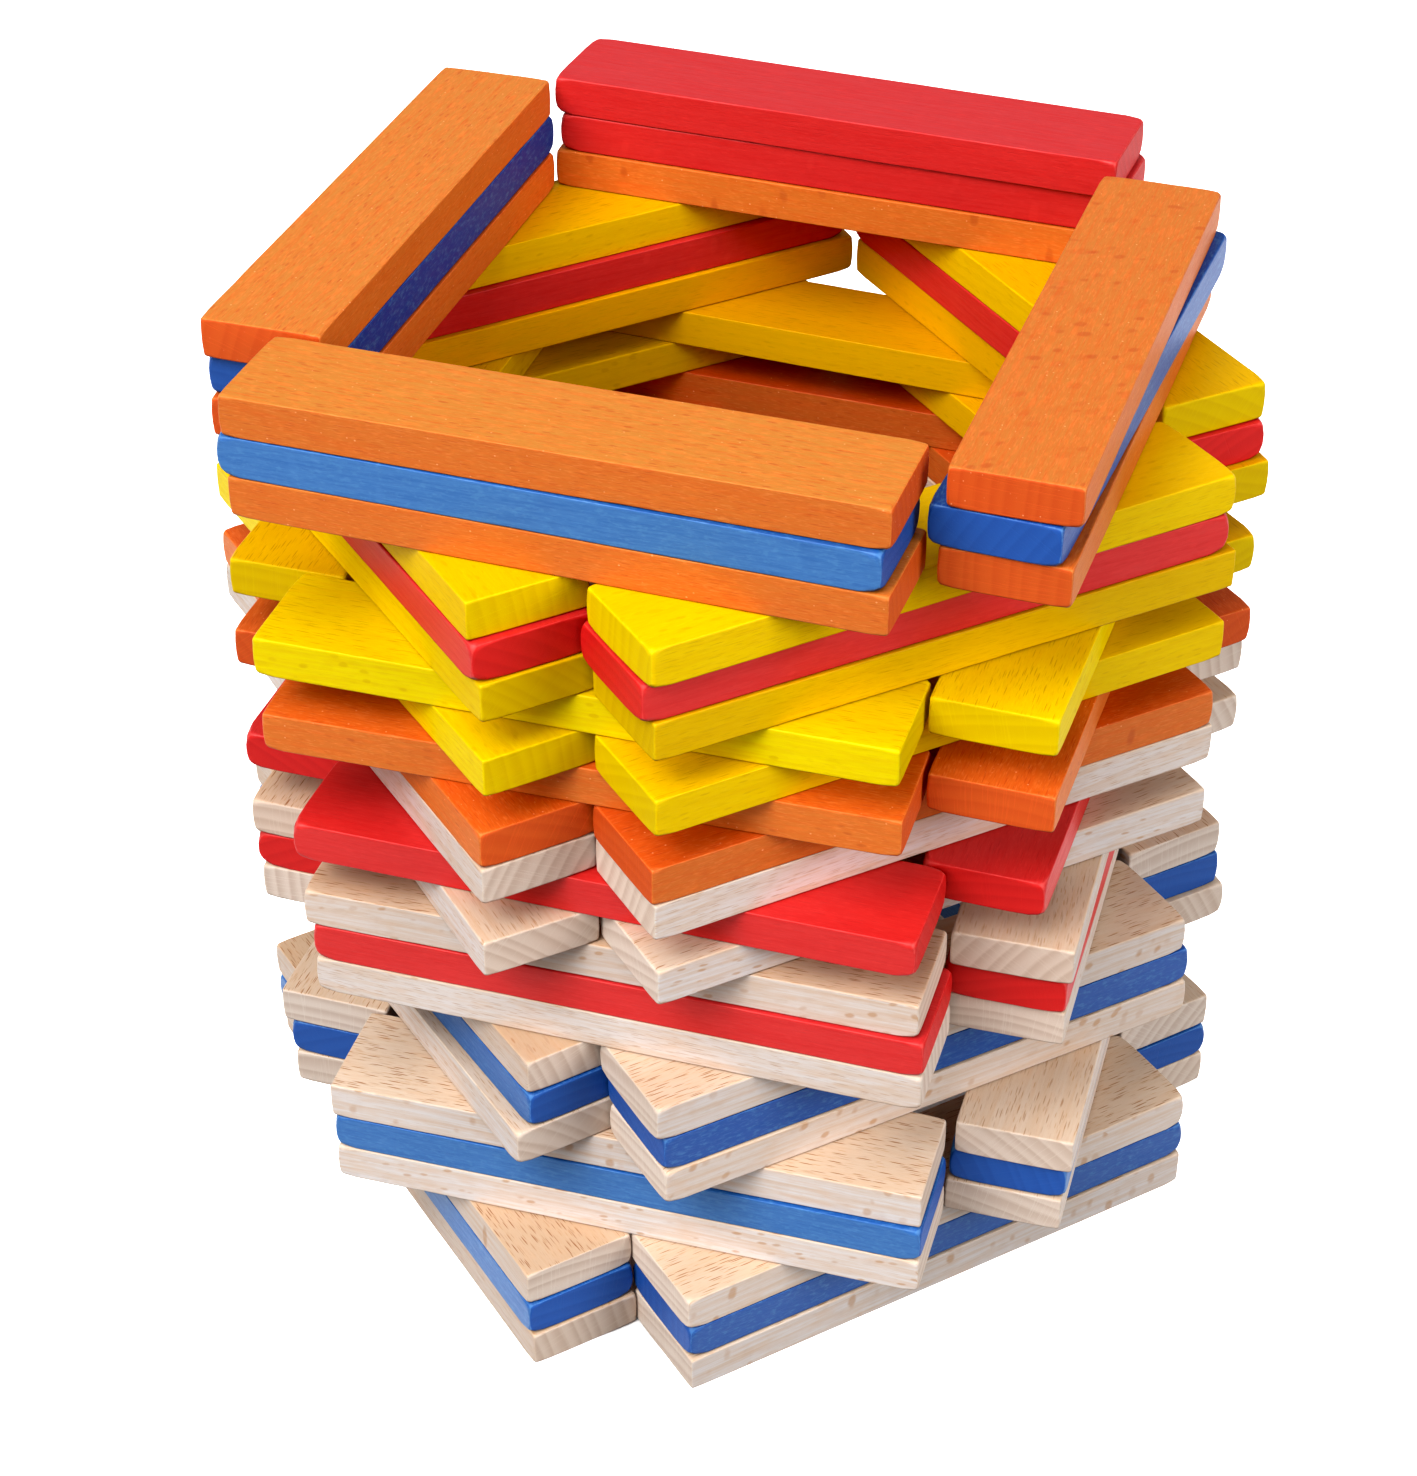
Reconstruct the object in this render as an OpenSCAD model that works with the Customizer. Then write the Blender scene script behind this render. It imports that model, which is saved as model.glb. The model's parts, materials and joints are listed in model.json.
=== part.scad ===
// Wooden stacking tower: loose beech planks laid in rings of four.
// Square rings and rings turned by half a right angle follow each other,
// some one plank high, some two or three, around an open well.
// Nothing is glued: every plank only rests on the ones below it.
// +Z is up, the tower stands on z = 0, and the origin is the middle of its footprint box.

/* [Plank] */
// Length of every plank
plank_l = 120; // [110:1:120]
// Width of every plank
plank_w = 23.5; // [21:0.5:23.5]
// Thickness of every plank
plank_t = 8; // [6:0.5:10]
// How far the sanded edges are broken
edge_ease = 0.6; // [0.3:0.1:1.2]

/* [Rings] */
// Distance from the tower's axis to the middle of a plank
ring_r = 70; // [70:0.5:76]
// Turn of every second ring against the ring below it
ring_turn = 45; // [44:0.5:46]

/* [Colours] */
// Plain beech
natural_c = "#DCBFA2";
// Blue stain
blue_c = "#2E62A8";
// Red stain
red_c = "#D32A22";
// Orange stain
orange_c = "#E8772E";
// Yellow stain
yellow_c = "#F2C800";

/* [Hidden] */
// How each plank is laid, by hand and a little carelessly: [along, out, turn].
// along is the slip along its own length, out the slip away from the axis, turn its
// twist in degrees. Counted from the bottom level, and in each level from the
// front plank (square ring) or front right plank (turned ring) anticlockwise from above.
LAID = [
  // levels 1 to 3, turned: front right, back right, back left, front left
  [[5.5, 0.5, 2.5], [4.5, 4.5, 2.5], [2, 1, 1],      [4, 0, 3]],
  [[5.5, 0, 2.5],   [4.5, 4.5, 2.5], [2, 1.5, 0.5],  [3.5, 0.5, 3]],
  [[5, 0, 2.5],     [5, 4.5, 2.5],   [2.5, 1, 1],    [3, 0.5, 3]],
  // levels 4 to 6, square: front, right, back, left
  [[2.5, 2, 1.5],   [2.5, 2, 1.5],   [2.5, 2, -0.5], [1, -4.5, 0.5]],
  [[2.5, 2, 1.5],   [3, 2.5, 1.5],   [2, 1.5, 0],    [1, -4.5, 0]],
  [[2, 1.5, 2],     [2, 3.5, 1.5],   [2, 2, -0.5],   [1, -3, 0]],
  // levels 7 to 9, turned
  [[2.5, -2, 1],    [4, 5, 1.5],     [0, 5, 0],      [-2.5, -0.5, 3.5]],
  [[2.5, -2.5, 1],  [5, 3.5, 1.5],   [1, 6.5, 0],    [-3, -2.5, 4.5]],
  [[1, -2.5, 1],    [5, 2.5, 2],     [2.5, 7, 0],    [-3.5, -2.5, 4.5]],
  // levels 10 to 12, square
  [[1.5, 2.5, 0.5], [2, -0.5, 1.5],  [-3.5, 5, -0.5], [1, -1.5, 0]],
  [[1.5, 2.5, 0.5], [1.5, 0, 1],     [-3, 4.5, -0.5], [1, -1, 0]],
  [[0, 2, 1],       [0.5, 0, 2],     [-2, 4, -0.5],  [1, -0.5, 0]],
  // level 13, turned
  [[2, -3, 0.5],    [5, 3, 2],       [1.5, 5, 0],    [-2.5, 0.5, 0]],
  // level 14, square
  [[-0.5, 3.5, 0],  [-1, -3, -1],    [-3.5, 2.5, -0.5], [1, -0.5, 0]],
  // levels 15 and 16, turned
  [[1, -2, 0.5],    [3.5, 2.5, 0.5], [0.5, 0, 0.5],  [-3.5, 2, 2]],
  [[0.5, -2, 0.5],  [1.5, 2.5, 0],   [0, 0.5, 0.5],  [-3.5, 2, 2]],
  // level 17, square
  [[-5, 2, 1.5],    [-7, -1.5, -1],  [-4, 3, -2],    [1, -0.5, 0]],
  // level 18, turned
  [[0.5, -1, 1],    [3, 2.5, 0],     [0, 7, 1],      [-3, 1.5, 2.5]],
  // level 19, square
  [[-5.5, 2.5, 0.5], [-6.5, -1.5, -1.5], [-4, -0.5, -3.5], [1, -0.5, 0.5]],
  // levels 20 to 22, turned
  [[0.5, -0.5, 0.5], [3.5, 4.5, -0.5], [-3, 4.5, 2], [-2.5, 1, 2]],
  [[-1.5, -1, 0.5], [5, 4, -1],      [-1.5, 5.5, 2], [-3, 1.5, 1.5]],
  [[-1, 0, 1.5],    [6, 4, -1],      [-1.5, 7, 2],   [-4.5, 1, 1]],
  // levels 23 to 25, square
  [[-7.5, 3, -1.5], [-8.5, -1, -1.5], [-1, 2, -2.5], [-2, 1, 0]],
  [[-9, 3, -1.5],   [-9, -1, -3.5],  [-2, 2.5, -2.5], [-3.5, 1.5, 0]],
  [[-8, 2.5, -1],   [-9, -0.5, -1],  [-1, 2, -3],    [-2, 1.5, 0]]
];
// Levels whose ring is turned, counted from 1
TURNED = [1, 2, 3, 7, 8, 9, 13, 15, 16, 18, 20, 21, 22];
function turned(n) = len([for (t = TURNED) if (t == n) t]) > 0;
// Heading of plank s (0 to 3) of level n before its own twist
function heading(n, s) = 90 * s + (turned(n) ? ring_turn : 0);
// A plank's middle in plan, seen from the tower's axis
function middle(n, s) =
  let (a = heading(n, s), p = LAID[n - 1][s], o = ring_r + p[1])
  [p[0] * cos(a) + o * sin(a), p[0] * sin(a) - o * cos(a)];
// A point (x, y) of that plank's own outline, in plan
function spot(n, s, x, y) =
  let (b = heading(n, s) + LAID[n - 1][s][2], m = middle(n, s))
  [m[0] + x * cos(b) - y * sin(b), m[1] + x * sin(b) + y * cos(b)];
// Outline corners of every plank, for the middle of the footprint box
hl = plank_l / 2;
hw = plank_w / 2;
RIM = [for (n = [1 : len(LAID)], s = [0 : 3], i = [-1, 1], j = [-1, 1], e = [0, 1])
  spot(n, s, i * (hl - e * edge_ease), j * (hw - (1 - e) * edge_ease))];
RIM_X = [for (p = RIM) p[0]];
RIM_Y = [for (p = RIM) p[1]];
mid_x = (min(RIM_X) + max(RIM_X)) / 2;
mid_y = (min(RIM_Y) + max(RIM_Y)) / 2;

// Rectangle with its corners cut back by the edge easing
module eased(x, y) {
  polygon([
    [-x / 2 + edge_ease, -y / 2], [x / 2 - edge_ease, -y / 2],
    [x / 2, -y / 2 + edge_ease], [x / 2, y / 2 - edge_ease],
    [x / 2 - edge_ease, y / 2], [-x / 2 + edge_ease, y / 2],
    [-x / 2, y / 2 - edge_ease], [-x / 2, -y / 2 + edge_ease]
  ]);
}

// One plank on its flat side, all twelve edges eased, its underside at z = 0
module plank() {
  intersection() {
    linear_extrude(height = plank_t) eased(plank_l, plank_w);
    translate([0, plank_w, plank_t / 2]) rotate([90, 0, 0])
      linear_extrude(height = 2 * plank_w) eased(plank_l, plank_t);
    translate([-plank_l, 0, plank_t / 2]) rotate([90, 0, 90])
      linear_extrude(height = 2 * plank_l) eased(plank_w, plank_t);
  }
}

// Plank s of level n where it lies
module laid(n, s) {
  m = middle(n, s);
  translate([m[0] - mid_x, m[1] - mid_y, (n - 1) * plank_t])
    rotate([0, 0, heading(n, s) + LAID[n - 1][s][2]]) plank();
}

// All four planks of level n, each a loose piece
module ring(n) {
  for (s = [0 : 3]) laid(n, s);
}

module level_01_planks() { color(natural_c) ring(1); }
module level_02_planks() { color(blue_c) ring(2); }
module level_03_planks() { color(natural_c) ring(3); }
module level_04_planks() { color(natural_c) ring(4); }
module level_05_planks() { color(blue_c) ring(5); }
module level_06_planks() { color(natural_c) ring(6); }
module level_07_planks() { color(natural_c) ring(7); }
module level_08_planks() { color(blue_c) ring(8); }
module level_09_planks() { color(natural_c) ring(9); }
module level_10_planks() { color(natural_c) ring(10); }
module level_11_planks() { color(red_c) ring(11); }
module level_12_planks() { color(natural_c) ring(12); }
module level_13_planks() { color(natural_c) ring(13); }
module level_14_front_plank() { color(red_c) laid(14, 0); }
module level_14_right_plank() { color(red_c) laid(14, 1); }
module level_14_back_plank() { color(red_c) laid(14, 2); }
module level_14_left_plank() { color(red_c) laid(14, 3); }
module level_15_planks() { color(natural_c) ring(15); }
module level_16_front_right_plank() { color(orange_c) laid(16, 0); }
module level_16_back_right_plank() { color(orange_c) laid(16, 1); }
module level_16_back_left_plank() { color(orange_c) laid(16, 2); }
module level_16_front_left_plank() { color(orange_c) laid(16, 3); }
module level_17_front_plank() { color(orange_c) laid(17, 0); }
module level_17_right_plank() { color(orange_c) laid(17, 1); }
module level_17_back_plank() { color(orange_c) laid(17, 2); }
module level_17_left_plank() { color(orange_c) laid(17, 3); }
module level_18_front_right_plank() { color(yellow_c) laid(18, 0); }
module level_18_back_right_plank() { color(yellow_c) laid(18, 1); }
module level_18_back_left_plank() { color(yellow_c) laid(18, 2); }
module level_18_front_left_plank() { color(yellow_c) laid(18, 3); }
module level_19_front_plank() { color(yellow_c) laid(19, 0); }
module level_19_right_plank() { color(yellow_c) laid(19, 1); }
module level_19_back_plank() { color(yellow_c) laid(19, 2); }
module level_19_left_plank() { color(yellow_c) laid(19, 3); }
module level_20_front_right_plank() { color(yellow_c) laid(20, 0); }
module level_20_back_right_plank() { color(yellow_c) laid(20, 1); }
module level_20_back_left_plank() { color(yellow_c) laid(20, 2); }
module level_20_front_left_plank() { color(yellow_c) laid(20, 3); }
module level_21_front_right_plank() { color(red_c) laid(21, 0); }
module level_21_back_right_plank() { color(red_c) laid(21, 1); }
module level_21_back_left_plank() { color(red_c) laid(21, 2); }
module level_21_front_left_plank() { color(red_c) laid(21, 3); }
module level_22_front_right_plank() { color(yellow_c) laid(22, 0); }
module level_22_back_right_plank() { color(yellow_c) laid(22, 1); }
module level_22_back_left_plank() { color(yellow_c) laid(22, 2); }
module level_22_front_left_plank() { color(yellow_c) laid(22, 3); }
module level_23_front_plank() { color(orange_c) laid(23, 0); }
module level_23_right_plank() { color(orange_c) laid(23, 1); }
module level_23_back_plank() { color(orange_c) laid(23, 2); }
module level_23_left_plank() { color(orange_c) laid(23, 3); }
module level_24_front_plank() { color(blue_c) laid(24, 0); }
module level_24_right_plank() { color(blue_c) laid(24, 1); }
module level_24_back_plank() { color(red_c) laid(24, 2); }
module level_24_left_plank() { color(blue_c) laid(24, 3); }
module level_25_front_plank() { color(orange_c) laid(25, 0); }
module level_25_right_plank() { color(orange_c) laid(25, 1); }
module level_25_back_plank() { color(red_c) laid(25, 2); }
module level_25_left_plank() { color(orange_c) laid(25, 3); }

level_01_planks();
level_02_planks();
level_03_planks();
level_04_planks();
level_05_planks();
level_06_planks();
level_07_planks();
level_08_planks();
level_09_planks();
level_10_planks();
level_11_planks();
level_12_planks();
level_13_planks();
level_14_front_plank();
level_14_right_plank();
level_14_back_plank();
level_14_left_plank();
level_15_planks();
level_16_front_right_plank();
level_16_back_right_plank();
level_16_back_left_plank();
level_16_front_left_plank();
level_17_front_plank();
level_17_right_plank();
level_17_back_plank();
level_17_left_plank();
level_18_front_right_plank();
level_18_back_right_plank();
level_18_back_left_plank();
level_18_front_left_plank();
level_19_front_plank();
level_19_right_plank();
level_19_back_plank();
level_19_left_plank();
level_20_front_right_plank();
level_20_back_right_plank();
level_20_back_left_plank();
level_20_front_left_plank();
level_21_front_right_plank();
level_21_back_right_plank();
level_21_back_left_plank();
level_21_front_left_plank();
level_22_front_right_plank();
level_22_back_right_plank();
level_22_back_left_plank();
level_22_front_left_plank();
level_23_front_plank();
level_23_right_plank();
level_23_back_plank();
level_23_left_plank();
level_24_front_plank();
level_24_right_plank();
level_24_back_plank();
level_24_left_plank();
level_25_front_plank();
level_25_right_plank();
level_25_back_plank();
level_25_left_plank();
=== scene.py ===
import json
import math

import bpy
import numpy as np
from mathutils import Matrix, Vector


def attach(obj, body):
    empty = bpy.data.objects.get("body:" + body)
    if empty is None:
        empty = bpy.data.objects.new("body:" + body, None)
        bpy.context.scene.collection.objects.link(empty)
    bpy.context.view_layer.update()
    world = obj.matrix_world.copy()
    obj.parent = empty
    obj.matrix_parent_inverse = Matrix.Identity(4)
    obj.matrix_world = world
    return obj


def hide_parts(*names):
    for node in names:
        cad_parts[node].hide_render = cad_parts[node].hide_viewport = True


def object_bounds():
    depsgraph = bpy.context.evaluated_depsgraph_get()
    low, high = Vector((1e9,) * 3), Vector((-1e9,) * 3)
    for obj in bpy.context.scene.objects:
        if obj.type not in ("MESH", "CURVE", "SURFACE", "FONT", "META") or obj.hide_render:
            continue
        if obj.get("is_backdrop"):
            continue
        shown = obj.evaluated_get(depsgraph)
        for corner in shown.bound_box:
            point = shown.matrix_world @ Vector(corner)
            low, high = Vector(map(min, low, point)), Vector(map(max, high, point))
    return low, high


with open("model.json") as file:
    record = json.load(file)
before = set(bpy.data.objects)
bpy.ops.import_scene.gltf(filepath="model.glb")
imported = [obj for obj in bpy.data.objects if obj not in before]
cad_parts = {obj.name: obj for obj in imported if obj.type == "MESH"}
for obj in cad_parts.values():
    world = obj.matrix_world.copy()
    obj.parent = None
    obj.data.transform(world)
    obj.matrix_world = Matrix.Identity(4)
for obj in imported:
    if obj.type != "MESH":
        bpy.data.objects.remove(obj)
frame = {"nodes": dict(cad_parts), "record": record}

cad_low, cad_high = (np.array(corner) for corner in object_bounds())

# ------------------------------------------------------------------ camera
cam_data = bpy.data.cameras.new("camera")
cam_data.sensor_fit = "HORIZONTAL"
cam_data.sensor_width = 36.0
cam_data.lens = 77.28
cam_data.clip_start, cam_data.clip_end = 0.05, 60.0
camera = bpy.data.objects.new("camera", cam_data)
bpy.context.scene.collection.objects.link(camera)
right = Vector((0.954298, 0.298848, 0.002893))
up = Vector((-0.174013, 0.547746, 0.818353))
back = Vector((0.242978, -0.781453, 0.574714))
place = Vector((0.15067, -0.49930, 0.45096))
camera.matrix_world = Matrix(
    (
        (right.x, up.x, back.x, place.x),
        (right.y, up.y, back.y, place.y),
        (right.z, up.z, back.z, place.z),
        (0, 0, 0, 1),
    )
)
bpy.context.scene.camera = camera
bpy.context.scene.view_settings.view_transform = "Standard"
bpy.context.scene.view_settings.look = "None"
bpy.context.scene.view_settings.exposure = 0.18
bpy.context.scene.view_settings.gamma = 0.84
bpy.context.scene.view_settings.use_curve_mapping = True
bpy.context.scene.view_settings.curve_mapping.black_level = (0.006, 0.006, 0.006)
bpy.context.scene.view_settings.curve_mapping.update()


# ------------------------------------------------------- the planks of a node
def solids(obj):
    """The corner points of each separate plank of a node."""
    me = obj.data
    co = np.empty(len(me.vertices) * 3, np.float32)
    me.vertices.foreach_get("co", co)
    co = co.reshape(-1, 3).astype(float)
    points, at = np.unique(np.round(co * 1e6).astype(np.int64), axis=0, return_inverse=True)
    at = at.ravel()
    group = np.arange(len(points))

    def root(i):
        while group[i] != i:
            group[i] = group[group[i]]
            i = group[i]
        return i

    for e in me.edges:
        a, b = root(at[e.vertices[0]]), root(at[e.vertices[1]])
        if a != b:
            group[max(a, b)] = min(a, b)
    roots = np.array([root(i) for i in range(len(points))])
    points = points / 1e6
    return [points[roots == r] for r in np.unique(roots)]


def lying(points):
    """Middle, heading and half sizes of a plank, from its points."""
    middle = (points.min(0) + points.max(0)) / 2
    flat = points[:, :2] - points[:, :2].mean(0)
    _, _, rows = np.linalg.svd(flat, full_matrices=False)
    u = rows[0]
    if u[0] < -1e-9 or (abs(u[0]) < 1e-9 and u[1] < 0):
        u = -u
    v = np.array((-u[1], u[0]))
    along, over = points[:, :2] @ u, points[:, :2] @ v
    a, b = (along.min() + along.max()) / 2, (over.min() + over.max()) / 2
    centre = np.array((*(a * u + b * v), middle[2]))
    half = np.array((np.ptp(along) / 2, np.ptp(over) / 2, np.ptp(points[:, 2]) / 2))
    return centre, u, v, half


# ------------------------------------------------------------- plank topology
MM = 0.001


def steps(length, near, stride):
    """Cuts along one side: close together near its ends, wide in its middle."""
    near = [d for d in near if d < length / 2 - 0.3]
    count = max(1, int(round((length - 2 * near[-1]) / stride)))
    middle = [near[-1] + (length - 2 * near[-1]) * i / count for i in range(1, count)]
    return np.array(near + middle + [length - d for d in reversed(near)])


def lattice(nx, ny, nz):
    """Vertices and faces of the skin of a lattice of nx by ny by nz points."""
    index = -np.ones((nx, ny, nz), int)
    skin = np.zeros((nx, ny, nz), bool)
    skin[[0, -1]] = skin[:, [0, -1]] = skin[:, :, [0, -1]] = True
    ijk = np.argwhere(skin)
    index[tuple(ijk.T)] = np.arange(len(ijk))
    quads, side = [], []

    def sheet(grid, flip, number):
        q = np.stack([grid[:-1, :-1], grid[1:, :-1], grid[1:, 1:], grid[:-1, 1:]], -1).reshape(-1, 4)
        quads.append(q[:, ::-1] if flip else q)
        side.append(np.full(len(q), number))

    sheet(index[:, :, -1], False, 0)
    sheet(index[:, :, 0], True, 1)
    sheet(index[:, 0, :], False, 2)
    sheet(index[:, -1, :], True, 3)
    sheet(index[0, :, :], True, 4)
    sheet(index[-1, :, :], False, 5)
    return ijk, np.concatenate(quads), np.concatenate(side)


LONG = (0, 0.12, 0.27, 0.48, 0.8, 1.3, 2.0, 2.9, 4.0)
SHORT = (0, 0.12, 0.27, 0.48, 0.8, 1.3, 2.0, 2.9)


def smooth(a, b, x):
    t = np.clip((x - a) / (b - a), 0, 1)
    return t * t * (3 - 2 * t)


def wave(rng, x, span, count=5):
    """A soft random line over x, about -1 to 1."""
    y = np.zeros_like(x)
    for i in range(1, count + 1):
        y += rng.normal() / i**0.7 * np.sin(2 * math.pi * (i * x / span + rng.random()))
    return y / 2


cache = {}


def plank(name, centre, u, v, half, rng, look):
    """One worn plank with eased edges and rounder corners, its wood coordinates and its colour weights, painted shade
    among them.
    """
    size = 2 * half / MM
    key = tuple(np.round(size, 3))
    if key not in cache:
        xs, ys, zs = steps(size[0], LONG, 3.6), steps(size[1], SHORT, 3.6), steps(size[2], SHORT, 1.2)
        cache[key] = (xs, ys, zs, *lattice(len(xs), len(ys), len(zs)))
    xs, ys, zs, ijk, quads, side = cache[key]
    h = size / 2 - 0.03
    p = np.stack([xs[ijk[:, 0]], ys[ijk[:, 1]], zs[ijk[:, 2]]], -1) - size / 2
    p = np.clip(p, -h, h)
    away = h - np.abs(p)  # distance from the three nearest sides

    # The easing of each of the long edges wanders a little, and each corner is worn by its own amount.
    corner = (p[:, 0] > 0) * 4 + (p[:, 1] > 0) * 2 + (p[:, 2] > 0) * 1
    edge = look["edge"] * (1 + 0.16 * np.select(
        [(corner & 3) == i for i in range(4)], [wave(rng, p[:, 0], 60.0) for _ in range(4)]
    ))
    worn = rng.uniform(0.75, 1.2, 8)[corner] * look["corner"]
    near = (1 - smooth(0.1, 4.2, away[:, 0])) * (1 - smooth(0.1, 4.2, away[:, 1])) * (1 - smooth(0.1, 3.4, away[:, 2]))
    end = (1 - smooth(0.0, 3.0, away[:, 0])) * look["end"]
    r = np.maximum(edge, 0.2) + end + (worn - edge) * near
    for _ in range(look["nicks"]):
        at, q = rng.uniform(-52, 52), rng.integers(4)
        r = r + rng.uniform(0.08, 0.2) * np.exp(-(((p[:, 0] - at) / rng.uniform(1.6, 3.2)) ** 2)) * ((corner & 3) == q)
    # A tip that would stand past the tower's box is worn blunt.
    sx, sy = np.where(p[:, :2] > 0, 0.5, -0.5).T[:, :, None]
    tip = centre[:2] + (size[0] * sx * u + size[1] * sy * v) * MM
    past = np.maximum(tip - cad_high[:2], cad_low[:2] - tip).max(1) / MM
    blunt = np.clip(past, 0, 1) * 2.8 * (1 - smooth(0.1, 4.2, away[:, 0])) * (1 - smooth(0.1, 4.2, away[:, 1]))
    r = np.clip(np.maximum(r, blunt), 0.2, 3.0)[:, None]
    inner = np.clip(p, -(h - r), h - r)
    normal = p - inner
    normal /= np.maximum(np.linalg.norm(normal, axis=1), 1e-9)[:, None]
    q = inner + normal * r
    # Sanding leaves the flats a touch hollow and uneven.
    uneven = 0.02 * (wave(rng, p[:, 0], 47.0) + wave(rng, p[:, 1], 19.0)) - 0.02
    q = q + normal * np.minimum(uneven, 0)[:, None]

    # Wood coordinates, in millimetres: along the grain, out from the pith, and round it.
    phi, pith = look["ring_turn"], look["pith"]
    c, s = math.cos(phi), math.sin(phi)
    slope = look["slope"]
    out = q[:, 2] * c + q[:, 1] * s + slope[0] * q[:, 0]
    across = q[:, 1] * c - q[:, 2] * s + slope[1] * q[:, 0]
    rho, theta = np.hypot(out + pith, across), np.arctan2(across, out + pith)
    wood = np.stack([q[:, 0], rho, theta * pith], -1) + look["offset"]
    # How much of each face looks along the grain, out from the pith, and round it.
    nr = normal[:, 2] * c + normal[:, 1] * s
    nt = normal[:, 1] * c - normal[:, 2] * s
    cr, sr = np.cos(theta), np.sin(theta)
    facing = np.abs(np.stack([normal[:, 0], nr * cr + nt * sr, nt * cr - nr * sr], -1))
    rim = np.clip((1 - np.abs(normal).max(1)) / 0.29, 0, 1.4)

    # Painted shade: a mask of the lower rounded edges, where the seams between stacked planks lie in shade.
    seam_shade = np.clip(rim * 1.4, 0, 1) * np.clip(-normal[:, 2] * 2.2, 0, 1)

    turn = np.array(((u[0], v[0], 0), (u[1], v[1], 0), (0, 0, 1.0)))
    co = q * MM @ turn.T + centre
    me = bpy.data.meshes.new(name)
    me.vertices.add(len(co))
    me.vertices.foreach_set("co", co.astype(np.float32).ravel())
    me.loops.add(quads.size)
    me.loops.foreach_set("vertex_index", quads.astype(np.int32).ravel())
    me.polygons.add(len(quads))
    me.polygons.foreach_set("loop_start", np.arange(0, quads.size, 4, dtype=np.int32))
    me.polygons.foreach_set("use_smooth", np.ones(len(quads), bool))
    me.update(calc_edges=True)

    # A flat map of the six sides, laid in rows along the grain.
    uv = np.empty((len(quads), 4, 2))
    c4 = q[quads]
    full, wide, thick = size
    rows = {0: 0.5, 1: wide + 1.5, 2: 2 * wide + 2.5, 3: 2 * wide + thick + 3.5, 4: 2 * wide + 2 * thick + 4.5}
    total = 2 * wide + 3 * thick + 5.0
    for n in range(6):
        w = side == n
        a = c4[w]
        if n < 4:
            y = a[..., 1] + wide / 2 if n < 2 else a[..., 2] + thick / 2
            uv[w] = np.stack([(a[..., 0] + full / 2 + 0.5) / (full + 1), (rows[n] + y) / total], -1)
        else:
            x = a[..., 1] + wide / 2 + (0.5 if n == 4 else wide + 2.5)
            uv[w] = np.stack([x / (full + 1), (rows[4] + a[..., 2] + thick / 2) / total], -1)
    layer = me.uv_layers.new(name="OFBake")
    layer.data.foreach_set("uv", uv.astype(np.float32).ravel())

    for label, values in (("wood", wood), ("facing", facing), ("tone_and_shade", np.tile(look["tone_and_shade"], (len(co), 1)))):
        me.attributes.new(label, "FLOAT_VECTOR", "POINT").data.foreach_set("vector", values.astype(np.float32).ravel())
    for label, values in (("rim", rim), ("flat", np.abs(normal[:, 2])), ("painted_shade", np.full(len(co), look["painted_shade"])), ("seam_shade", seam_shade)):
        me.attributes.new(label, "FLOAT", "POINT").data.foreach_set("value", values.astype(np.float32))
    me.normals_split_custom_set_from_vertices((normal @ turn.T).tolist())
    obj = bpy.data.objects.new(name, me)
    bpy.context.scene.collection.objects.link(obj)
    return obj


# ------------------------------------------------------------------ materials
def linear(colour):
    """A colour written as sRGB out of 255, as Blender takes it."""
    out = []
    for c in colour:
        c = c / 255
        out.append(c / 12.92 if c <= 0.04045 else ((c + 0.055) / 1.055) ** 2.4)
    return (*out, 1.0)


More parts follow.
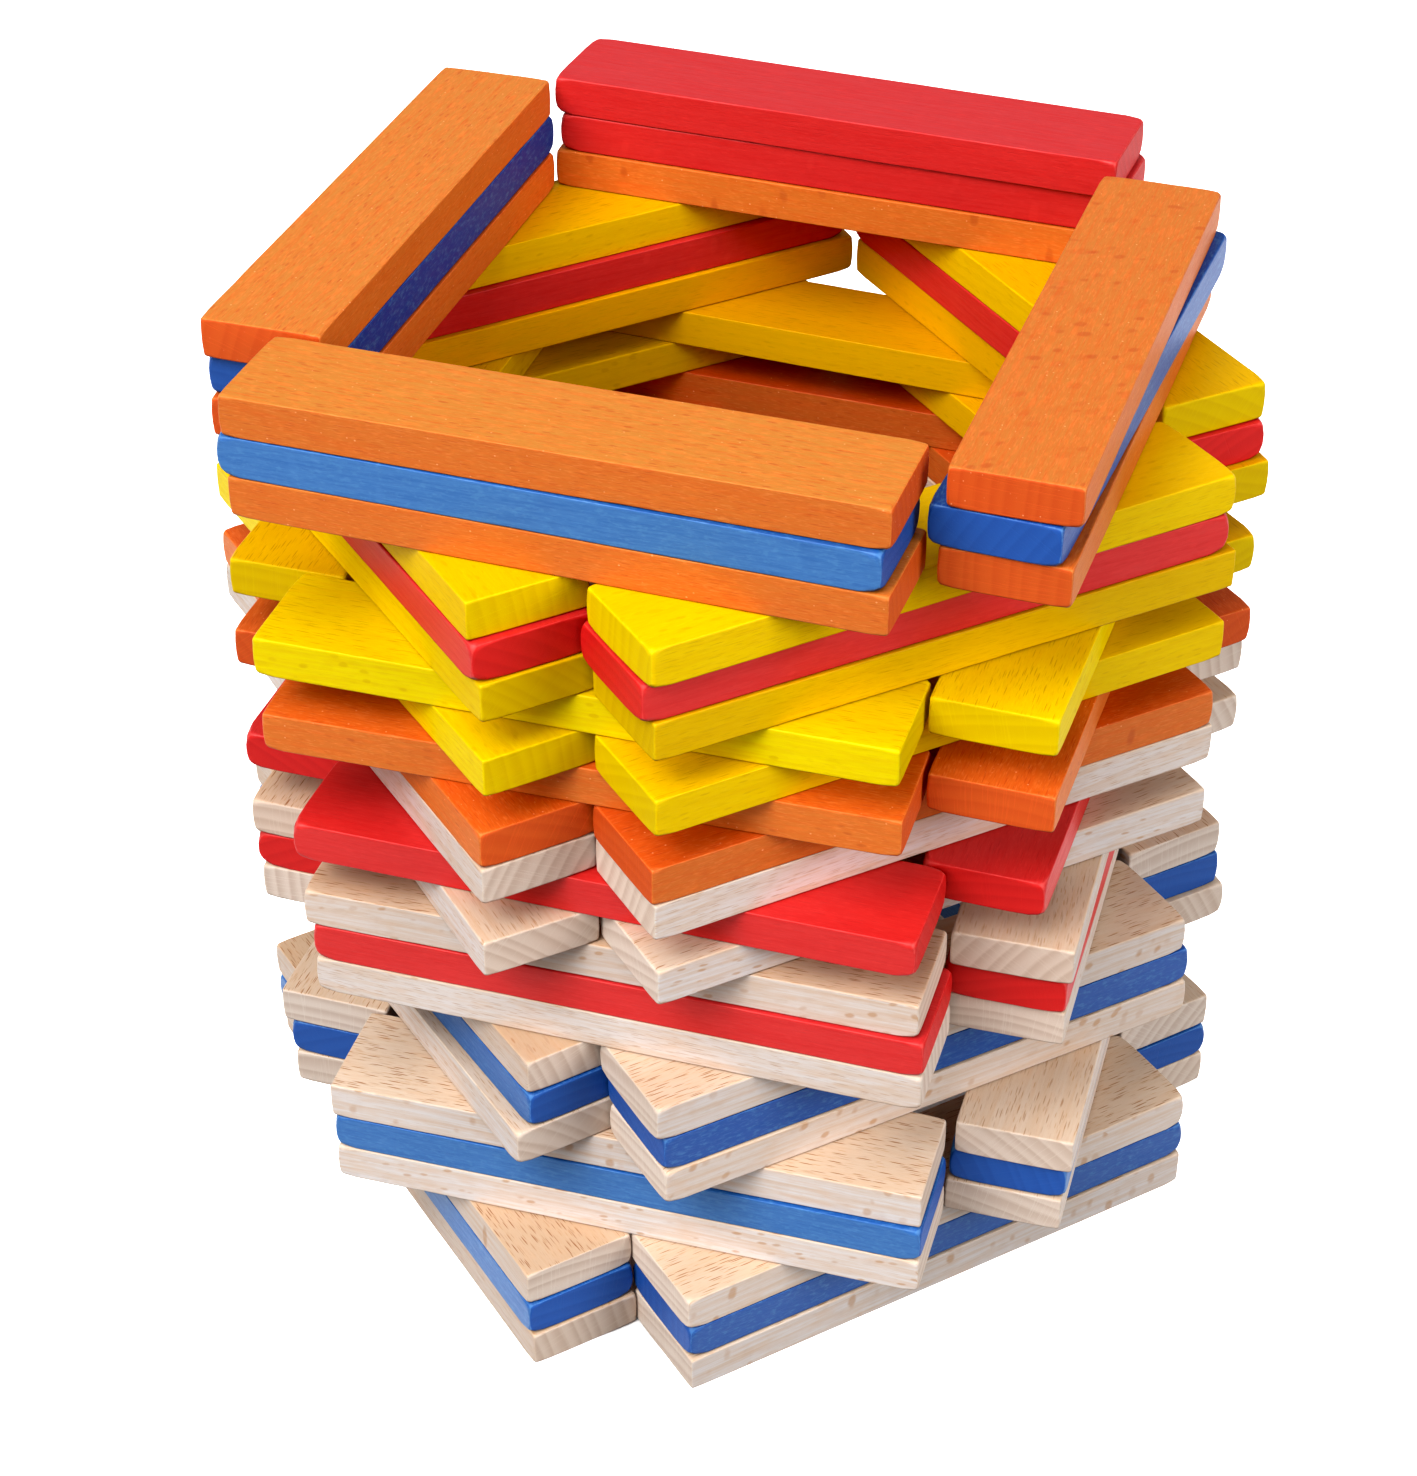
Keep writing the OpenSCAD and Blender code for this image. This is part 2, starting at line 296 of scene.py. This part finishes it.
class Graph:
    def __init__(self, tree):
        self.tree = tree

    def put(self, socket, value):
        if isinstance(value, bpy.types.NodeSocket):
            self.tree.links.new(value, socket)
        elif value is not None:
            socket.default_value = value

    def node(self, kind, **settings):
        n = self.tree.nodes.new(kind)
        for k, x in settings.items():
            setattr(n, k, x)
        return n

    def math(self, op, a, b=None, clamp=False):
        n = self.node("ShaderNodeMath", operation=op, use_clamp=clamp)
        self.put(n.inputs[0], a)
        self.put(n.inputs[1], b)
        return n.outputs[0]

    def vector(self, op, a, b=None, scale=None):
        n = self.node("ShaderNodeVectorMath", operation=op)
        self.put(n.inputs[0], a)
        self.put(n.inputs[1], b)
        if scale is not None:
            self.put(n.inputs["Scale"], scale)
        return n.outputs["Value"] if op in ("DOT_PRODUCT", "LENGTH") else n.outputs[0]

    def attribute(self, name, out):
        return self.node("ShaderNodeAttribute", attribute_type="GEOMETRY", attribute_name=name).outputs[out]

    def noise(self, at, detail=2.0, rough=0.5, out="Fac"):
        n = self.node("ShaderNodeTexNoise", noise_dimensions="3D")
        self.put(n.inputs["Vector"], at)
        n.inputs["Scale"].default_value = 1.0
        n.inputs["Detail"].default_value = detail
        n.inputs["Roughness"].default_value = rough
        return n.outputs[out]

    def cells(self, at):
        n = self.node("ShaderNodeTexVoronoi", voronoi_dimensions="3D", feature="F1", distance="EUCLIDEAN")
        self.put(n.inputs["Vector"], at)
        n.inputs["Scale"].default_value = 1.0
        n.inputs["Randomness"].default_value = 1.0
        return n.outputs["Distance"], n.outputs["Color"]

    def ease(self, x, a, b, low=0.0, high=1.0):
        n = self.node("ShaderNodeMapRange", interpolation_type="SMOOTHSTEP")
        self.put(n.inputs["Value"], x)
        n.inputs["From Min"].default_value, n.inputs["From Max"].default_value = a, b
        n.inputs["To Min"].default_value, n.inputs["To Max"].default_value = low, high
        return n.outputs["Result"]

    def span(self, x, a, b, low, high):
        n = self.node("ShaderNodeMapRange", interpolation_type="LINEAR", clamp=True)
        self.put(n.inputs["Value"], x)
        n.inputs["From Min"].default_value, n.inputs["From Max"].default_value = a, b
        n.inputs["To Min"].default_value, n.inputs["To Max"].default_value = low, high
        return n.outputs["Result"]

    def mix(self, fac, a, b, blend="MIX"):
        n = self.node("ShaderNodeMix", data_type="RGBA", blend_type=blend, clamp_factor=True)
        self.put(n.inputs["Factor"], fac)
        self.put(n.inputs[6], a)
        self.put(n.inputs[7], b)
        return n.outputs[2]

    def parts(self, v):
        n = self.node("ShaderNodeSeparateXYZ")
        self.put(n.inputs[0], v)
        return n.outputs

    def rgb(self, c):
        n = self.node("ShaderNodeSeparateColor")
        self.put(n.inputs[0], c)
        return n.outputs

    def join(self, x, y, z):
        n = self.node("ShaderNodeCombineXYZ")
        for s, value in zip(n.inputs, (x, y, z)):
            self.put(s, value)
        return n.outputs[0]

    def grey(self, x):
        n = self.node("ShaderNodeCombineColor")
        for s in n.inputs:
            self.put(s, x)
        return n.outputs[0]


def beech(name, s):
    """Beech, plain or stained. The wood attribute gives millimetres along the grain, out from the pith and round it."""
    mat = bpy.data.materials.new(name)
    mat.use_nodes = True
    tree = mat.node_tree
    g = Graph(tree)
    shader = tree.nodes["Principled BSDF"]

    at = g.attribute("wood", "Vector")
    along, out, round_ = g.parts(g.attribute("facing", "Vector"))
    t1, t2, t3 = g.parts(g.attribute("tone_and_shade", "Vector"))
    rim = g.attribute("rim", "Fac")
    flat = g.attribute("flat", "Fac")
    painted_shade = g.attribute("painted_shade", "Fac")

    # The grain wanders.
    bend = g.noise(g.vector("MULTIPLY", at, (0.03, 0.07, 0.07)), 1.0, 0.5, "Color")
    bend = g.vector("MULTIPLY", g.vector("SUBTRACT", bend, (0.5, 0.5, 0.5)), (2.6, 0.8, 0.8))
    grain = g.vector("ADD", at, bend)
    ends = g.ease(along, 0.55, 0.9)
    lying = g.math("SUBTRACT", 1.0, ends)

    # Rays: short dashes where the face looks out from the pith, spots where it looks round it, lines on the ends.
    jog = g.noise(g.vector("MULTIPLY", at, (0.7, 0.9, 2.2)), 1.0, 0.5, "Color")
    jog = g.vector("MULTIPLY", g.vector("SUBTRACT", jog, (0.5, 0.5, 0.5)), (0.4, 0.5, 0.05))
    ray_at = g.vector("ADD", grain, jog)
    far, pick = g.cells(g.vector("MULTIPLY", ray_at, (1 / 5.6, 1 / 20.0, 1 / 0.37)))
    pick_r, pick_g, _ = g.rgb(pick)
    rays = g.ease(far, 0.34, 0.17)
    rays = g.math("MULTIPLY", rays, g.span(pick_r, 0.0, 0.5, 0.25, 1.0))
    blot, lens = g.cells(g.vector("MULTIPLY", g.vector("ADD", ray_at, (31.7, 5.3, 11.9)), (1 / 6.5, 1 / 1.7, 1 / 1.7)))
    spots = g.math("MULTIPLY", g.ease(blot, 0.40, 0.14), g.ease(g.rgb(lens)[0], 0.3, 0.5))
    spots = g.math("MULTIPLY", spots, g.ease(round_, 0.72, 0.95))
    far2, pick2 = g.cells(g.vector("MULTIPLY", ray_at, (1 / 4.0, 1 / 14.0, 1 / 0.34)))
    small = g.math("MULTIPLY", g.ease(far2, 0.31, 0.14), g.span(g.rgb(pick2)[0], 0.2, 0.7, 0.0, 1.0))

    # Fibres, pores and broad patches.
    fibre = g.noise(g.vector("MULTIPLY", grain, s["fibre_at"]), 4.0, 0.62)
    pore = g.noise(g.vector("MULTIPLY", grain, (1 / 2.2, 1 / 0.17, 1 / 0.17)), 2.0, 0.6)
    patch = g.noise(g.vector("MULTIPLY", at, (1 / 42.0, 1 / 9.0, 1 / 9.0)), 2.0, 0.5)
    mottle = g.noise(g.vector("MULTIPLY", at, s["mottle_at"]), 2.0, 0.6)
    fleck = g.noise(g.vector("MULTIPLY", grain, (1 / 1.8, 1 / 0.26, 1 / 0.26)), 1.0, 0.5)

    # Year rings: each darkens slowly and ends in a thin late line.
    _, ring_out, _ = g.parts(grain)
    sway = g.noise(g.vector("MULTIPLY", at, (1 / 90.0, 1 / 5.0, 1 / 80.0)), 1.0, 0.5)
    years = g.math("MULTIPLY", g.math("ADD", ring_out, g.math("MULTIPLY", sway, 4.5)), 1 / 2.7)
    year = g.math("FRACT", years)
    late = g.math("MULTIPLY", g.ease(year, 0.45, 0.93), g.ease(year, 1.0, 0.94))

    # The lying faces. The narrow side faces take a colour of their own: partly their own grain, partly painted light
    # for the different light on sides and tops.
    c = g.mix(g.ease(patch, 0.3, 0.7), linear(s["base"]), linear(s["base2"]))
    c = g.mix(g.math("MULTIPLY", g.math("SUBTRACT", 1.0, flat), s["edge"]), c, linear(s["side_colour_and_light"]))
    # Each plank's second tone: partly its own tone, partly painted shade on planks in shade and painted light on the
    # top planks.
    c = g.mix(g.math("MULTIPLY", t2, g.span(flat, 0.0, 1.0, s["vary_edge"], s["vary"])), c, linear(s["variant_and_shade_c"]))
    c = g.mix(g.math("MULTIPLY", g.ease(fibre, 0.38, 0.68), s["fibre"]), c, linear(s["fibre_c"]))
    c = g.mix(g.math("MULTIPLY", late, s["late"]), c, linear(s["late_c"]))
    c = g.mix(g.math("MULTIPLY", g.ease(mottle, 0.5, 0.72), s["mottle"]), c, linear(s["mottle_c"]))
    c = g.mix(g.math("MULTIPLY", g.ease(pore, 0.56, 0.75), s["pore"]), c, linear(s["ray_c"]))
    c = g.mix(g.math("MULTIPLY", g.ease(fleck, 0.52, 0.74), s["fleck"]), c, linear(s["fleck_c"]))
    strong = g.math("ADD", g.math("MULTIPLY", round_, s["spot"] - s["dash"]), s["dash"])
    strong = g.math("MULTIPLY", strong, g.span(flat, 0.0, 1.0, 0.45, 1.0))
    c = g.mix(g.math("MULTIPLY", small, s["tick"]), c, linear(s["tick_c"]))
    c = g.mix(g.math("MULTIPLY", spots, s["blot"]), c, linear(s["blot_c"]))
    c = g.mix(g.math("MULTIPLY", rays, strong), c, linear(s["ray_c"]))

    # The ends: rings as bands, rays as pale lines.
    e = g.mix(g.ease(year, 0.1, 0.9), linear(s["end"]), linear(s["end_dark"]))
    e = g.mix(g.math("MULTIPLY", g.ease(year, 0.86, 0.97), 0.6), e, linear(s["end"]))
    e = g.mix(g.math("MULTIPLY", g.math("MAXIMUM", g.ease(far, 0.34, 0.2), g.ease(far2, 0.3, 0.14)), s["end_ray"]), e, linear(s["end_pale"]))
    e = g.mix(g.math("MULTIPLY", g.ease(pore, 0.5, 0.7), 0.35), e, linear(s["end_dark"]))
    e = g.mix(g.math("MULTIPLY", t3, s["end_vary"]), e, linear(s["end_brown"]))
    c = g.mix(ends, c, e)

    # Painted shade: some planks are darkened, their tops most, where they sit in shade in the well and under overhangs.
    c = g.mix(g.math("MULTIPLY", painted_shade, g.span(flat, 0.0, 1.0, 0.4, 0.9)), c, linear(s["painted_shade_c"]), "MULTIPLY")
    # Each plank has its own depth of colour.
    c = g.mix(1.0, c, g.grey(g.span(t1, 0.0, 1.0, 1 - s["depth"], 1 + s["depth"] * 0.6)), "MULTIPLY")

    # Pale specks in the stain, and edges paler: partly rubbed wear, partly painted highlight along the rims.
    if s["speck"]:
        dot, which = g.cells(g.vector("MULTIPLY", at, (1 / 1.5, 1 / 1.2, 1 / 1.2)))
        dots = g.math("MULTIPLY", g.ease(dot, 0.17, 0.05), g.ease(g.rgb(which)[0], 0.66, 0.98))
        c = g.mix(g.math("MULTIPLY", dots, s["speck"]), c, linear(s["speck_c"]))
    rub_and_glint = g.noise(g.vector("MULTIPLY", at, (1 / 7.0, 1 / 1.4, 1 / 1.4)), 3.0, 0.6)
    # Painted highlight along the rims, mixed with rubbed wear.
    rubbed_and_glint = g.ease(g.math("ADD", rim, g.math("MULTIPLY", g.math("SUBTRACT", rub_and_glint, 0.5), 1.3)), 0.55, 1.1)
    c = g.mix(g.math("MULTIPLY", rubbed_and_glint, s["rub_and_glint"]), c, linear(s["rub_and_glint_c"]))
    # Painted shade: the lower edges are darkened where they lie on the planks below, standing in for the shade in the
    # seams.
    c = g.mix(g.math("MULTIPLY", g.attribute("seam_shade", "Fac"), 0.75), c, linear((150, 104, 84)), "MULTIPLY")
    tree.links.new(c, shader.inputs["Base Color"])

    # Gloss and fine relief.
    rough = g.math("ADD", g.math("MULTIPLY", fibre, 0.22), s["rough"] - 0.11)
    rough = g.math("ADD", rough, g.math("MULTIPLY", ends, 0.12))
    tree.links.new(rough, shader.inputs["Roughness"])
    shader.inputs["Specular IOR Level"].default_value = s["gloss"]
    height = g.math("ADD", g.math("MULTIPLY", fibre, 0.6), g.math("MULTIPLY", pore, 0.8))
    height = g.math("SUBTRACT", height, g.math("MULTIPLY", rays, 0.5))
    bump = g.node("ShaderNodeBump")
    bump.inputs["Strength"].default_value = s["bump"]
    bump.inputs["Distance"].default_value = 0.00012
    tree.links.new(height, bump.inputs["Height"])
    tree.links.new(bump.outputs["Normal"], shader.inputs["Normal"])
    if s.get("sheen"):
        shader.inputs["Sheen Weight"].default_value = s["sheen"]
        shader.inputs["Sheen Roughness"].default_value = 0.35
    return mat


NATURAL = dict(
    base=(216, 198, 180), base2=(213, 192, 172), variant_and_shade_c=(206, 178, 150), vary=0.8,
    side_colour_and_light=(223, 217, 216), edge=0.95, vary_edge=0.45, fibre=0.42, fibre_c=(206, 176, 144), fibre_at=(1 / 15.0, 1 / 0.6, 1 / 0.6),
    late=0.28, late_c=(207, 173, 140), mottle=0.28, mottle_c=(215, 181, 150), mottle_at=(1 / 9.0, 1 / 2.6, 1 / 2.6),
    pore=0.16, ray_c=(160, 108, 64), dash=1.0, spot=0.12, tick=0.6, tick_c=(188, 142, 98),
    blot=0.12, blot_c=(206, 174, 146), fleck=0.0, fleck_c=(240, 224, 204),
    end=(229, 215, 203), end_dark=(211, 192, 178), end_pale=(238, 229, 218), end_ray=0.35, end_vary=0.28, end_brown=(196, 162, 132),
    painted_shade_c=(226, 206, 184), depth=0.07, speck=0.0, rub_and_glint=0.22, rub_and_glint_c=(240, 226, 204), rough=0.55, gloss=0.25, bump=0.3, sheen=0.0,
)
ORANGE = dict(
    base=(212, 106, 34), base2=(209, 100, 30), variant_and_shade_c=(196, 134, 58), vary=1.0,
    side_colour_and_light=(208, 121, 50), edge=0.95, vary_edge=0.0, fibre=0.28, fibre_c=(216, 98, 30), fibre_at=(1 / 7.0, 1 / 0.45, 1 / 0.45),
    late=0.12, late_c=(215, 84, 20), mottle=0.22, mottle_c=(236, 140, 62), mottle_at=(1 / 2.4, 1 / 1.0, 1 / 1.0),
    pore=0.36, ray_c=(192, 72, 20), dash=0.65, spot=0.2, tick=0.5, tick_c=(182, 84, 34),
    blot=0.25, blot_c=(236, 134, 60), fleck=0.26, fleck_c=(236, 156, 88),
    end=(211, 98, 36), end_dark=(206, 91, 32), end_pale=(230, 108, 44), end_ray=0.3, end_vary=0.0, end_brown=(208, 74, 18),
    painted_shade_c=(232, 150, 190), depth=0.05, speck=0.5, speck_c=(255, 206, 150), rub_and_glint=0.35, rub_and_glint_c=(248, 160, 88), rough=0.48, gloss=0.2, bump=0.3, sheen=0.0,
)
BLUE = dict(
    base=(40, 100, 170), base2=(34, 92, 162), variant_and_shade_c=(16, 56, 150), vary=1.0,
    side_colour_and_light=(76, 128, 184), edge=0.9, vary_edge=1.0, fibre=0.3, fibre_c=(30, 84, 156), fibre_at=(1 / 10.0, 1 / 0.6, 1 / 0.6),
    late=0.08, late_c=(26, 76, 150), mottle=0.35, mottle_c=(92, 146, 192), mottle_at=(1 / 1.7, 1 / 0.9, 1 / 0.9),
    pore=0.16, ray_c=(26, 72, 144), dash=0.25, spot=0.2, tick=0.08, tick_c=(104, 160, 210),
    blot=0.15, blot_c=(36, 94, 162), fleck=0.2, fleck_c=(104, 154, 200),
    end=(42, 92, 168), end_dark=(38, 86, 161), end_pale=(48, 100, 174), end_ray=0.2, end_vary=0.0, end_brown=(27, 74, 151),
    painted_shade_c=(190, 205, 225), depth=0.07, speck=0.0, rub_and_glint=0.45, rub_and_glint_c=(104, 160, 214), rough=0.42, gloss=0.25, bump=0.3, sheen=0.0,
)
RED = dict(
    base=(206, 47, 43), base2=(202, 43, 42), variant_and_shade_c=(194, 55, 59), vary=1.0,
    side_colour_and_light=(211, 54, 52), edge=0.9, vary_edge=0.2, fibre=0.3, fibre_c=(196, 22, 24), fibre_at=(1 / 14.0, 1 / 0.7, 1 / 0.7),
    late=0.08, late_c=(190, 20, 24), mottle=0.14, mottle_c=(224, 56, 54), mottle_at=(1 / 4.0, 1 / 1.4, 1 / 1.4),
    pore=0.16, ray_c=(160, 16, 20), dash=0.25, spot=0.12, tick=0.2, tick_c=(230, 70, 66),
    blot=0.15, blot_c=(198, 22, 26), fleck=0.12, fleck_c=(234, 84, 80),
    end=(209, 36, 34), end_dark=(201, 30, 29), end_pale=(214, 38, 34), end_ray=0.2, end_vary=0.0, end_brown=(198, 21, 20),
    painted_shade_c=(210, 190, 190), depth=0.06, speck=0.0, rub_and_glint=0.35, rub_and_glint_c=(240, 104, 98), rough=0.42, gloss=0.25, bump=0.3, sheen=0.0,
)
YELLOW = dict(
    base=(227, 199, 0), base2=(225, 193, 0), variant_and_shade_c=(232, 172, 0), vary=1.0,
    side_colour_and_light=(241, 222, 0), edge=0.85, vary_edge=0.9, fibre=0.3, fibre_c=(224, 180, 0), fibre_at=(1 / 14.0, 1 / 0.7, 1 / 0.7),
    late=0.12, late_c=(210, 162, 0), mottle=0.14, mottle_c=(226, 182, 2), mottle_at=(1 / 5.0, 1 / 1.6, 1 / 1.6),
    pore=0.16, ray_c=(166, 116, 0), dash=0.55, spot=0.12, tick=0.35, tick_c=(200, 152, 0),
    blot=0.08, blot_c=(214, 166, 0), fleck=0.12, fleck_c=(250, 224, 60),
    end=(227, 199, 0), end_dark=(221, 190, 0), end_pale=(233, 210, 8), end_ray=0.3, end_vary=0.0, end_brown=(219, 176, 0),
    painted_shade_c=(226, 208, 225), depth=0.05, speck=0.0, rub_and_glint=0.3, rub_and_glint_c=(246, 230, 30), rough=0.48, gloss=0.1, bump=0.3, sheen=0.0,
)
SPECS = {
    "natural_beech": NATURAL,
    "orange_stained_beech": ORANGE,
    "blue_stained_beech": BLUE,
    "red_stained_beech": RED,
    "yellow_stained_beech": YELLOW,
}
materials = {slot: beech(slot, spec) for slot, spec in SPECS.items()}

# ------------------------------------------------------------- lay the planks
SQUARE = ("right", "back", "left", "front")
TURNED = ("back_right", "back_left", "front_left", "front_right")
slot_of = {row["node"]: row["material_slot"] for row in frame["record"]["subparts"]}
body_of = {n: b for b, ns in frame["record"]["behaviour"]["bodies"].items() for n in ns}
# How the growth rings lie in some planks, in degrees: at 0 the flat shows dashes and the edge spots, at 90 the other way round.
RINGS = {
    "25_front": 70, "25_left": 65, "25_right": 80, "24_right": 60, "23_right": 84, "23_front": 80,
    "22_front_left": 88, "22_front_right": 75, "21_front_left": 40, "20_front_left": 50, "20_front_right": 72,
    "19_front": 12, "19_right": 6, "19_left": 10, "18_front_left": 82, "18_front_right": 20, "17_front": 0, "17_right": 10,
    "16_front_left": 30, "15_front_left": -52, "15_front_right": 60, "13_front_left": 42, "13_front_right": 15,
    "12_front": 4, "12_right": -48, "10_front": 68, "10_right": 8, "09_front_left": 68, "09_front_right": 8,
    "07_front_right": 2, "07_front_left": 46, "06_front": 4, "06_right": 35, "04_front": -4, "04_right": 12,
    "03_front_left": 10, "03_front_right": 6, "01_front_left": 82, "01_front_right": 5, "15_back_right": 84,
}
# How pale or how brown some planks are, from 0 to 1: partly each plank's own tone, partly painted shade on planks in
# the well and in shade, and painted light on the top planks.
SHADES = {
    "25_front": 0.95, "25_left": 1.0, "25_right": 0.92, "23_front": 0.6, "23_left": 0.25, "23_right": 0.2, "23_back": 0.3,
    "17_front": 0.0, "17_right": 0.05, "17_left": 0.15, "17_back": 0.0, "16_front_left": 0.0, "16_front_right": 0.0, "16_back_right": 0.1,
    "24_left": 1.0, "24_right": 0.6, "24_front": 0.0, "08_front_right": 0.62, "08_front_left": 0.25, "05_front": 0.05, "02_front_right": 0.55,
    "25_back": 1.0, "24_back": 0.7,
    "15_back_right": 1.0, "18_front_left": 0.1, "18_front_right": 0.4, "18_back_left": 0.6, "18_back_right": 0.8, "19_front": 0.0, "19_right": 0.1, "19_left": 0.35,
    "19_back": 0.8, "20_front_left": 0.25, "20_front_right": 0.45, "20_back_left": 1.0, "20_back_right": 0.9, "22_front_left": 0.5,
    "22_front_right": 0.4, "22_back_left": 0.6, "22_back_right": 0.6,
    "01_front_left": 0.9, "12_front": 0.3, "12_right": 0.3, "13_front_right": 0.0, "09_front_right": 0.2, "06_front": 0.15, "04_front": 0.1, "03_front_left": 0.75, "09_front_left": 0.75,
}

# How much painted shade darkens some planks, from 0 to 1: planks in the well, under overhangs, and where the light on
# them is too bright.
PAINTED_SHADE = {
    "17_back": 0.7, "16_back_right": 0.5, "16_back_left": 0.5, "17_left": 0.3, "17_right": 0.1, "16_front_right": 0.3, "16_front_left": 0.1,
    "23_left": 0.4, "20_front_right": 0.95, "20_front_left": 0.4, "19_back": 0.7, "20_back_left": 0.35, "20_back_right": 0.5,
    "18_back_right": 0.3, "19_left": 0.5, "19_right": 0.1, "12_front": 0.45, "12_right": 0.1, "12_left": 0.3,
    "13_front_left": 0.2, "22_back_left": 0.2, "01_front_left": 0.3,
    "25_right": 0.3, "25_left": 0.2, "03_front_left": 0.35, "09_front_left": 0.4,
}

# How far the corners are rounded, in millimetres.
CORNERS = {
    "natural_beech": (0.5, 1.2),
    "orange_stained_beech": (0.6, 1.1),
    "blue_stained_beech": (1.1, 1.8),
    "red_stained_beech": (1.2, 2.0),
    "yellow_stained_beech": (0.5, 1.1),
}

for node, obj in sorted(frame["nodes"].items()):
    level = int(node.split("_")[1])
    for points in solids(obj):
        centre, u, v, half = lying(points)
        heading = math.degrees(math.atan2(u[1], u[0])) % 90
        turned = 20 < heading < 70
        angle = math.degrees(math.atan2(centre[1], centre[0])) % 360
        side = TURNED[int(angle // 90)] if turned else SQUARE[int((angle + 45) % 360 // 90)]
        name = f"plank_{level:02d}_{side}"
        rng = np.random.default_rng(7000 + level * 8 + (TURNED if turned else SQUARE).index(side) + 4 * turned)
        ring = RINGS.get(f"{level:02d}_{side}", rng.choice([0, 0, 0, 25, -25, 60, 90, -50]))
        look = {
            "edge": rng.uniform(0.25, 0.38),
            "corner": rng.uniform(*CORNERS[slot_of[node]]),
            "end": rng.uniform(0.0, 0.15),
            "nicks": int(rng.integers(0, 4)) if slot_of[node] != "blue_stained_beech" else 0,
            "ring_turn": math.radians(ring + rng.uniform(-9, 9)),
            "pith": rng.uniform(60, 170),
            "slope": rng.uniform(-0.03, 0.03, 2),
            "offset": rng.uniform(20, 400, 3),
            "tone_and_shade": rng.uniform(0, 1, 3),
        }
        # Painted shade that darkens this plank.
        look["painted_shade"] = PAINTED_SHADE.get(f"{level:02d}_{side}", 0.0)
        # The second tone is partly the plank's own and partly painted shade and painted light.
        look["tone_and_shade"][1] = SHADES.get(f"{level:02d}_{side}", look["tone_and_shade"][1] * 0.6)
        piece = plank(name, centre, u, v, half, rng, look)
        piece.data.materials.append(materials[slot_of[node]])
        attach(piece, body_of[node])
        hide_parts(node)

# ------------------------------------------------------------ floor and light
floor_mesh = bpy.data.meshes.new("floor")
floor_mesh.from_pydata([(-20, -20, 0), (20, -20, 0), (20, 20, 0), (-20, 20, 0)], [], [(0, 1, 2, 3)])
floor = bpy.data.objects.new("floor", floor_mesh)
bpy.context.scene.collection.objects.link(floor)
paper = bpy.data.materials.new("floor_paper")
paper.use_nodes = True
paper.node_tree.nodes["Principled BSDF"].inputs["Base Color"].default_value = (0.9, 0.9, 0.9, 1)
paper.node_tree.nodes["Principled BSDF"].inputs["Emission Color"].default_value = (1, 1, 1, 1)
# The paper glows, but not under the tower and in its well.
glow = Graph(paper.node_tree)
fx, fy, _ = glow.parts(glow.node("ShaderNodeTexCoord").outputs["Object"])
fx, fy = glow.math("ABSOLUTE", fx), glow.math("ABSOLUTE", fy)
spread = glow.math("MAXIMUM", glow.math("ADD", fx, fy), glow.math("MULTIPLY", glow.math("MAXIMUM", fx, fy), 1.16))
glow.put(paper.node_tree.nodes["Principled BSDF"].inputs["Emission Strength"], glow.ease(spread, 0.1045, 0.11, 0.0, 0.8))
paper.node_tree.nodes["Principled BSDF"].inputs["Roughness"].default_value = 0.9
paper.node_tree.nodes["Principled BSDF"].inputs["Specular IOR Level"].default_value = 0.1
floor_mesh.materials.append(paper)
floor.visible_diffuse = False
floor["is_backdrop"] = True


def lamp(name, azimuth, elevation, distance, size, watts, colour=(1, 1, 1), aim=(0, 0, 0.1)):
    """A square soft lamp that looks at the tower. Azimuth 0 is in front, and 90 on the right."""
    data = bpy.data.lights.new(name, "AREA")
    data.shape, data.size, data.energy, data.color = "SQUARE", size, watts, colour
    a, e = math.radians(azimuth), math.radians(elevation)
    way = Vector((math.sin(a) * math.cos(e), -math.cos(a) * math.cos(e), math.sin(e)))
    obj = bpy.data.objects.new(name, data)
    bpy.context.scene.collection.objects.link(obj)
    obj.matrix_world = Matrix.Translation(Vector(aim) + way * distance) @ way.to_track_quat("Z", "Y").to_matrix().to_4x4()
    return obj


lamp("front", -28, 40, 2.6, 1.5, 50)
lamp("top", -16, 62, 2.5, 1.5, 30)
lamp("side", 72, 22, 2.5, 1.3, 33)
world = bpy.data.worlds.new("studio")
bpy.context.scene.world = world
world.use_nodes = True
# A white room above the floor, and nothing under it.
sky = Graph(world.node_tree)
height = sky.parts(sky.node("ShaderNodeTexCoord").outputs["Generated"])[2]
sky.put(world.node_tree.nodes["Background"].inputs["Strength"], sky.ease(height, -0.03, 0.04, 0.0, 0.42))
world.node_tree.nodes["Background"].inputs["Color"].default_value = (1, 1, 1, 1)
